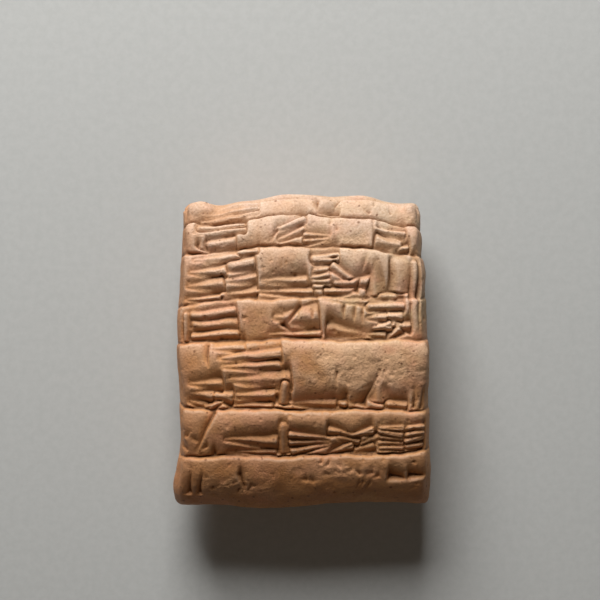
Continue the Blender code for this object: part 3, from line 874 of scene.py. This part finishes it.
# %% One closed mesh
def rim(rows_count, columns_count):
    """Numbers of a grid's rim points, once round: bottom, right, top, left."""
    number = np.arange(rows_count * columns_count).reshape(rows_count, columns_count)
    return np.concatenate([number[0, :-1], number[:-1, -1], number[-1, :0:-1], number[:0:-1, 0]])


def grid_quads(rows_count, columns_count):
    """Quads of a grid, turning anticlockwise when seen from +Z."""
    number = np.arange(rows_count * columns_count).reshape(rows_count, columns_count)
    return np.stack([number[:-1, :-1], number[:-1, 1:], number[1:, 1:], number[1:, :-1]],
                    axis=-1).reshape(-1, 4)


def fit_to_frame(points):
    """Stretch the points by a hair on each axis, so that their box is the frame's box."""
    low, high = points.min(axis=0), points.max(axis=0)
    return LOW + (points - low) / (high - low) * (HIGH - LOW)


face_count = face_points.shape[0] * face_points.shape[1]
face_rim = rim(*face_points.shape[:2])
back_rim = rim(*back_points.shape[:2]) + face_count
next_back = np.roll(back_rim, -1)
steps = [np.roll(face_rim, -i)[::BACK_STEP] for i in range(BACK_STEP + 1)]
middle_step = BACK_STEP // 2
fans = [np.stack([steps[i], back_rim if i < middle_step else next_back, steps[i + 1]], axis=1)
        for i in range(BACK_STEP)]
seam = np.concatenate(fans + [np.stack([steps[middle_step], back_rim, next_back], axis=1)])
quads = np.concatenate([grid_quads(*face_points.shape[:2]),
                        grid_quads(*back_points.shape[:2])[:, ::-1] + face_count])
points = np.concatenate([face_points.reshape(-1, 3), back_points.reshape(-1, 3)])
points[:, 2] = np.maximum(points[:, 2], 0.0)
points = fit_to_frame(points * MM)

mesh = bpy.data.meshes.new("tablet_clay")
mesh.from_pydata(points, [], quads.tolist() + seam.tolist())
mesh.update()
mesh.shade_smooth()
tablet = bpy.data.objects.new("tablet_clay", mesh)
bpy.context.scene.collection.objects.link(tablet)
closed = len(mesh.loops) == 2 * len(mesh.edges)     # every edge has a face on both sides
print(f"{len(quads) * 2 + len(seam)} triangles, closed: {closed}, repaired: {mesh.validate()}")


def add_mask(name, face_values, back_values):
    """Store one number per mesh point, for the material to read."""
    layer = mesh.attributes.new(name, "FLOAT", "POINT")
    layer.data.foreach_set("value", np.concatenate([face_values.ravel(), back_values.ravel()]))


blank = np.zeros(back_points.shape[:2])
add_mask("recess", face_recess, blank)
add_mask("crease", face_crease, blank)
add_mask("crumbly", face_crumbly, blank)

# %% [markdown]
# ## Clay as a material
#
# Fired by the sun only, the clay is fine and matt: a warm tan that varies in soft clouds. It is
# brown in the recesses, which is partly dirt and partly painted shade, and nearly black in the
# creases, which is painted shade. Its crests are paler on the upper rows, partly wear and partly
# painted highlight, and darker on the lower ones, which is painted shade; a thin painted highlight
# runs along the lips beside the creases. The top rows are paler, the right side is greyer, the left
# rim darker and redder with painted shade, and the lower end darker with painted shade. One painted
# picture could hold all this, but then it would not follow the relief. So every effect is a mask,
# some measured on the relief above and some made of noise and place, and the masks are laid over
# each other like coats of thin paint. Grain too fine for the mesh is bump.


# %% Shader helpers
def new_group(name, inputs, outputs):
    """An empty shader node group with float or colour sockets, given as (name, type, default)."""
    group = bpy.data.node_groups.new(name, "ShaderNodeTree")
    for socket_name, kind, default in inputs:
        socket = group.interface.new_socket(socket_name, in_out="INPUT", socket_type=kind)
        socket.default_value = default
    for socket_name, kind in outputs:
        group.interface.new_socket(socket_name, in_out="OUTPUT", socket_type=kind)
    return group, group.nodes.new("NodeGroupInput"), group.nodes.new("NodeGroupOutput")


def node(tree, kind, **values):
    """Add a node and set its properties; a key with a leading underscore sets an input socket."""
    made = tree.nodes.new(kind)
    for key, value in values.items():
        if key.startswith("_"):
            made.inputs[key[1:].replace("_", " ")].default_value = value
        else:
            setattr(made, key, value)
    return made


def noise(tree, position, scale, detail=3.0, roughness=0.5):
    """A noise texture's value, with its size as 1 / scale metres."""
    made = node(tree, "ShaderNodeTexNoise", _Scale=scale, _Detail=detail, _Roughness=roughness)
    tree.links.new(position, made.inputs["Vector"])
    return made.outputs["Fac"]


def spread_range(tree, value, low, high, new_low=0.0, new_high=1.0):
    """Map low..high to new_low..new_high, held at the ends."""
    made = node(tree, "ShaderNodeMapRange")
    for slot_name, number in (("From Min", low), ("From Max", high), ("To Min", new_low),
                              ("To Max", new_high)):
        made.inputs[slot_name].default_value = number
    tree.links.new(value, made.inputs["Value"])
    return made.outputs["Result"]


def arithmetic(tree, operation, first, second):
    """A Math node on two values or numbers."""
    made = node(tree, "ShaderNodeMath", operation=operation)
    for socket, value in zip(made.inputs, (first, second)):
        if isinstance(value, (int, float)):
            socket.default_value = value
        else:
            tree.links.new(value, socket)
    return made.outputs[0]


def blend(tree, amount, first, second):
    """Mix two colours, each a socket or a plain colour, by an amount."""
    made = node(tree, "ShaderNodeMix", data_type="RGBA")
    tree.links.new(amount, made.inputs["Factor"])
    for socket, value in ((made.inputs[6], first), (made.inputs[7], second)):
        if isinstance(value, tuple):
            socket.default_value = (*value, 1.0)
        else:
            tree.links.new(value, socket)
    return made.outputs[2]


print("helpers ready")


# %% Grain, shared by clay and floor
def grain_group():
    """Noise of two sizes: Height for bump, Shade as a soft speckle, and Pores as dark dots."""
    group, inside, out = new_group(
        "fine_grain", (("Size", "NodeSocketFloat", 4000.0),),
        (("Height", "NodeSocketFloat"), ("Shade", "NodeSocketFloat"), ("Pores", "NodeSocketFloat")))
    position = node(group, "ShaderNodeTexCoord").outputs["Object"]
    fine = node(group, "ShaderNodeTexNoise", _Detail=3.0, _Roughness=0.65)
    group.links.new(position, fine.inputs["Vector"])
    group.links.new(inside.outputs["Size"], fine.inputs["Scale"])
    coarse = node(group, "ShaderNodeTexNoise", _Detail=2.0)
    group.links.new(position, coarse.inputs["Vector"])
    group.links.new(arithmetic(group, "MULTIPLY", inside.outputs["Size"], 0.3),
                    coarse.inputs["Scale"])
    broad = arithmetic(group, "MULTIPLY", coarse.outputs["Fac"], 0.35)
    height = arithmetic(group, "ADD", fine.outputs["Fac"], broad)
    group.links.new(height, out.inputs["Height"])
    group.links.new(spread_range(group, fine.outputs["Fac"], 0.36, 0.64), out.inputs["Shade"])
    dots = node(group, "ShaderNodeTexVoronoi", feature="F1")
    group.links.new(position, dots.inputs["Vector"])
    group.links.new(arithmetic(group, "MULTIPLY", inside.outputs["Size"], 0.4),
                    dots.inputs["Scale"])
    near = spread_range(group, dots.outputs["Distance"], 0.34, 0.16)
    here = spread_range(group, coarse.outputs["Fac"], 0.54, 0.62)
    group.links.new(arithmetic(group, "MULTIPLY", near, here), out.inputs["Pores"])
    return group


GRAIN = grain_group()
print("made the group", GRAIN.name)


# %% The clay
# Coats of colour from the lowest to the topmost: mask, strength and paint
COATS = (("olive", 0.8, (0.52, 0.355, 0.18)), ("right_side", 0.45, (0.48, 0.355, 0.205)),
         ("blushes", 0.6, (0.62, 0.28, 0.17)), ("stains", 0.45, (0.34, 0.17, 0.075)),
         # Paler towards the top rows; darker towards the lower end, which is painted shade
         ("bleached", 0.75, (0.53, 0.42, 0.345)), ("sooty", 0.6, (0.38, 0.155, 0.045)),
         # The left rim is darker and redder: painted shade
         ("crumbly", 0.55, (0.76, 0.50, 0.32)), ("left_rim_shade", 0.6, (0.47, 0.20, 0.08)),
         # Brown in the recesses, partly dirt and partly painted shade; nearly black in the creases,
         # painted shade
         ("low_places_dirt_and_shade", 0.6, (0.20, 0.075, 0.014)), ("creases", 0.7, (0.08, 0.024, 0.002)),
         # Crests paler on the upper rows, partly wear and partly painted highlight, and darker on
         # the lower rows, painted shade
         ("rubbed", 0.35, (0.72, 0.55, 0.44)), ("dulled", 0.75, (0.28, 0.145, 0.075)),
         # A thin painted highlight on the lips beside the creases
         ("lips", 0.15, (0.80, 0.68, 0.56)), ("speckle", 0.42, (0.30, 0.15, 0.07)),
         ("pores", 0.75, (0.14, 0.055, 0.02)))
DARK_CLAY, LIGHT_CLAY = (0.51, 0.23, 0.09), (0.62, 0.295, 0.12)
GRAIN_SIZE, GRAIN_DEPTH = 3300.0, 0.00016


def clay_masks(tree):
    """The mask of every coat, and of the clouds, patches and worn places they are made from.
    Places across and up the tablet are in m."""
    position = node(tree, "ShaderNodeTexCoord").outputs["Object"]
    place_in = node(tree, "ShaderNodeSeparateXYZ")
    tree.links.new(position, place_in.inputs[0])
    across, up = place_in.outputs["X"], place_in.outputs["Y"]
    recess_mask, crease_mask, worn_mask = (
        node(tree, "ShaderNodeAttribute", attribute_name=name).outputs["Fac"]
        for name in ("recess", "crease", "crumbly"))
    grain = node(tree, "ShaderNodeGroup", node_tree=GRAIN)
    grain.inputs["Size"].default_value = GRAIN_SIZE

    def both(first, second):
        return arithmetic(tree, "MULTIPLY", first, second)

    def ramp(value, low, high, new_low=0.0, new_high=1.0):
        return spread_range(tree, value, low, high, new_low, new_high)

    clouds = ramp(noise(tree, position, 170.0), 0.35, 0.65)
    patches = ramp(noise(tree, position, 330.0, 4.0), 0.46, 0.66)
    right_side = both(ramp(across, -0.004, 0.010, 0.2, 1.0), ramp(up, -0.004, 0.006, 0.3, 1.0))
    crests = ramp(recess_mask, -0.05, -0.5)
    return {"clouds": clouds, "patches": patches, "worn": worn_mask, "right_side": right_side,
            "olive": both(patches, right_side),
            "blushes": ramp(noise(tree, position, 240.0, 3.0), 0.5, 0.64),
            "stains": ramp(noise(tree, position, 900.0, 5.0, 0.6), 0.5, 0.68),
            # Paler towards the top rows, in clouds
            "bleached": both(ramp(up, 0.002, 0.022), ramp(clouds, 0.0, 1.0, 0.35, 1.0)),
            # Darker towards the lower end, in patches: painted shade
            "sooty": both(ramp(up, -0.006, -0.018), ramp(patches, 0.0, 1.0, 1.0, 0.3)),
            "crumbly": both(worn_mask, ramp(up, -0.017, -0.008, 0.3, 1.0)),
            # Painted shade on the left rim
            "left_rim_shade": ramp(across, -0.0142, -0.0162),
            # Brown in the recesses, partly dirt and partly painted shade; nearly black in the
            # creases, painted shade
            "low_places_dirt_and_shade": ramp(recess_mask, 0.04, 0.7), "creases": ramp(crease_mask, 0.3, 0.95),
            # Paler crests on the upper rows: partly wear, partly painted highlight
            "rubbed": both(crests, ramp(up, -0.014, 0.010, 0.1, 1.0)),
            # Darker crests on the lower rows: painted shade
            "dulled": both(crests, ramp(up, 0.006, -0.014)),
            # A thin painted highlight on the lips beside the creases
            "lips": ramp(crease_mask, -0.3, -0.9), "speckle": grain.outputs["Shade"],
            "pores": grain.outputs["Pores"], "height": grain.outputs["Height"]}


def clay_material():
    """Tan clay: clouds, then every coat of COATS, rough in patches, with the grain as bump."""
    material = bpy.data.materials.new("sun_dried_clay")
    material.use_nodes = True
    tree = material.node_tree
    shader = tree.nodes["Principled BSDF"]
    masks = clay_masks(tree)
    colour = blend(tree, masks["clouds"], DARK_CLAY, LIGHT_CLAY)
    for name, strength, paint in COATS:
        colour = blend(tree, arithmetic(tree, "MULTIPLY", masks[name], strength), colour, paint)
    tree.links.new(colour, shader.inputs["Base Color"])
    shader.inputs["Specular IOR Level"].default_value = 0.3
    roughness = spread_range(tree, masks["patches"], 0.0, 1.0, 0.55, 0.7)
    tree.links.new(roughness, shader.inputs["Roughness"])
    bump = node(tree, "ShaderNodeBump", _Distance=GRAIN_DEPTH)
    tree.links.new(spread_range(tree, masks["worn"], 0.0, 1.0, 0.75, 0.9), bump.inputs["Strength"])
    tree.links.new(masks["height"], bump.inputs["Height"])
    tree.links.new(bump.outputs["Normal"], shader.inputs["Normal"])
    return material


mesh.materials.append(clay_material())
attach(tablet, "root")
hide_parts("clay_tablet")
print("the tablet rides on root and stands for clay_tablet")

# %% [markdown]
# ## Floor, light and camera
#
# The tablet lies on a plain pale sheet. One soft light comes from beyond its top edge, 30 degrees
# high, so every groove shows. A wide warm light from the other side and a faint even one fill the
# shadows. The camera looks almost straight down, from a little towards the top row.

# %% Floor
FLOOR_SIZE = 3.0                # m
FLOOR_GAP = 0.00005             # the floor lies this far below the tablet, m
half = FLOOR_SIZE / 2
corners = [(-half, -half, 0.0), (half, -half, 0.0), (half, half, 0.0), (-half, half, 0.0)]
floor_mesh = bpy.data.meshes.new("floor")
floor_mesh.from_pydata(corners, [], [(0, 1, 2, 3)])
floor = bpy.data.objects.new("floor", floor_mesh)
floor.location.z = -FLOOR_GAP
bpy.context.scene.collection.objects.link(floor)
floor_material = bpy.data.materials.new("pale_sheet")
floor_material.use_nodes = True
sheet_tree = floor_material.node_tree
sheet_shader = sheet_tree.nodes["Principled BSDF"]
sheet_grain = node(sheet_tree, "ShaderNodeGroup", node_tree=GRAIN)
sheet_grain.inputs["Size"].default_value = 900.0
sheet_colour = blend(sheet_tree, sheet_grain.outputs["Shade"], (0.455, 0.465, 0.465),
                     (0.43, 0.44, 0.44))
sheet_tree.links.new(sheet_colour, sheet_shader.inputs["Base Color"])
sheet_shader.inputs["Roughness"].default_value = 0.85
floor_mesh.materials.append(floor_material)
print("floor", FLOOR_SIZE, "m wide")


# %% Lights
# Azimuth and elevation in degrees, distance and side in m, power in W, and tint
LIGHTS = {"key": (10.0, 30.0, 0.42, 0.22, 3.2, (1.0, 0.985, 0.95)),
          "fill": (180.0, 50.0, 0.9, 0.9, 0.66, (1.0, 0.72, 0.45))}
SURROUND_TINT, SURROUND_STRENGTH = (0.9, 0.95, 1.0, 1.0), 0.03
MIDDLE = (0.0, 0.0, 0.008)      # the point the lights are turned to, m


def aim(thing, place_at, target):
    """Stand a light at a place and turn its -Z to the target, its Y upwards."""
    thing.location = place_at
    thing.rotation_euler = (Vector(target) - Vector(place_at)).to_track_quat("-Z", "Y").to_euler()


def soft_light(name, azimuth, elevation, distance, size, power, tint):
    """A square light on a sphere round the tablet; azimuth runs from +Y towards -X."""
    data = bpy.data.lights.new(name, "AREA")
    data.size = size
    data.energy = power
    data.color = tint
    light = bpy.data.objects.new(name, data)
    turn, rise = math.radians(azimuth), math.radians(elevation)
    away = Vector((-math.sin(turn) * math.cos(rise), math.cos(turn) * math.cos(rise),
                   math.sin(rise)))
    aim(light, away * distance, MIDDLE)
    bpy.context.scene.collection.objects.link(light)


for name, settings in LIGHTS.items():
    soft_light(name, *settings)
world = bpy.data.worlds.new("studio")
world.use_nodes = True
surround = world.node_tree.nodes["Background"]
surround.inputs["Color"].default_value = SURROUND_TINT
surround.inputs["Strength"].default_value = SURROUND_STRENGTH
bpy.context.scene.world = world
bpy.context.scene.view_settings.view_transform = "Standard"
print(f"{len(LIGHTS)} soft lights")

# %% Camera
FRAME_HEIGHT = 0.0836           # height of the view at the tablet, m
LENS, SENSOR = 120.0, 36.0      # mm
TILT = math.radians(6.0)        # how far the camera stands towards the top row
AIM_ACROSS, AIM_UP = -0.0003, 0.0080    # the middle of the view, m
camera_data = bpy.data.cameras.new("camera")
camera_data.lens = LENS
camera_data.sensor_width = SENSOR
camera = bpy.data.objects.new("camera", camera_data)
distance = FRAME_HEIGHT * LENS / SENSOR
target = Vector((AIM_ACROSS, AIM_UP, 0.8 * HIGH[2]))
camera.location = target + distance * Vector((0.0, math.sin(TILT), math.cos(TILT)))
camera.rotation_euler = (-TILT, 0.0, 0.0)
bpy.context.scene.collection.objects.link(camera)
bpy.context.scene.camera = camera
print(f"camera {distance:.2f} m away")
